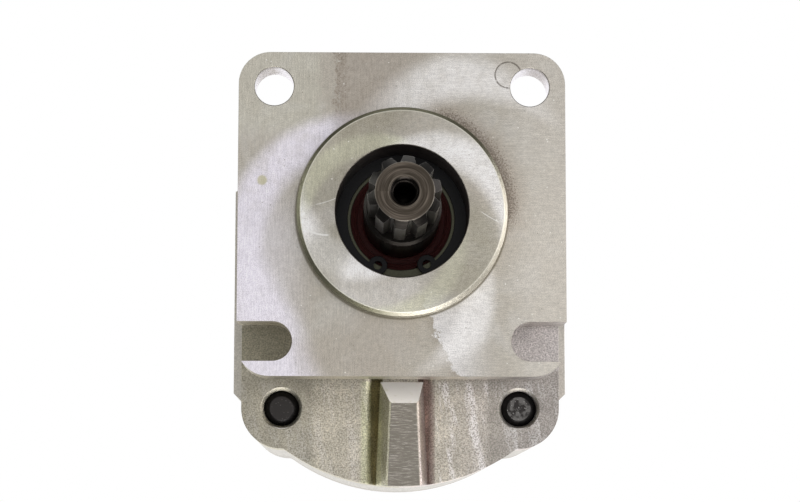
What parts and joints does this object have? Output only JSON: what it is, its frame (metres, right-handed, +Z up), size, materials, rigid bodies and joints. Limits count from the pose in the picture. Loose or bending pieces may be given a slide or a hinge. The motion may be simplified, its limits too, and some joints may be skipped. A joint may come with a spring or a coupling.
{
  "type": "hydraulic gear pump",
  "caption": "External gear pump with a square mounting flange, round pilot, splined shaft end, side port pads and a bolted casing of two covers and a body.",
  "frame": {"origin": "on the drive shaft axis at the mounting face of the flange", "axes": "the shaft end points to -Y and the casing lies on +Y, +Z up with the driven gear below, +X to the right seen from the shaft end"},
  "size_m": [0.0968, 0.1549, 0.1215],
  "materials": {
    "cast_aluminium": "cast, with milled faces",
    "body_aluminium": "satin extruded aluminium",
    "gear_steel": "turned and hardened steel",
    "bearing_alloy": "fine machined alloy",
    "bush_bronze": "bronze-backed lining",
    "black_rubber": "moulded nitrile rubber",
    "backup_plastic": "matte white plastic",
    "pin_steel": "ground steel",
    "black_steel": "black oxide steel",
    "zinc_steel": "zinc plated steel",
    "seal_metal": "pressed sheet steel",
    "red_rubber": "moulded fluorocarbon rubber",
    "spring_steel": "coiled steel wire"
  },
  "bodies": {
    "casing": {"front_cover": "cast_aluminium", "pump_body": "body_aluminium", "rear_cover": "cast_aluminium", "front_bearing_block": "bearing_alloy", "rear_bearing_block": "bearing_alloy", "drive_front_bush": "bush_bronze", "drive_rear_bush": "bush_bronze", "driven_front_bush": "bush_bronze", "driven_rear_bush": "bush_bronze", "front_pressure_seal": "black_rubber", "rear_pressure_seal": "black_rubber", "front_backup_ring": "backup_plastic", "rear_backup_ring": "backup_plastic", "front_body_seal": "black_rubber", "rear_body_seal": "black_rubber", "front_dowels": "pin_steel", "rear_dowels": "pin_steel", "cover_bolts": "black_steel", "bolt_washers": "zinc_steel", "shaft_seal_case": "seal_metal", "shaft_seal_lip": "red_rubber", "garter_spring": "spring_steel", "retaining_ring": "black_steel"},
    "drive_gear": {"drive_gear_shaft": "gear_steel"},
    "driven_gear": {"driven_gear_shaft": "gear_steel"}
  },
  "joints": [
    {"name": "drive_spin", "type": "hinge", "parent": "casing", "child": "drive_gear", "pos_m": [0, 0, 0], "axis": [0, 1, 0], "continuous": true},
    {"name": "driven_spin", "type": "hinge", "parent": "casing", "child": "driven_gear", "pos_m": [0, 0.0605, -0.0375], "axis": [0, 1, 0], "continuous": true}
  ],
  "couplings": [
    {"joint": "driven_spin", "follows": "drive_spin", "ratio": -1}
  ]
}
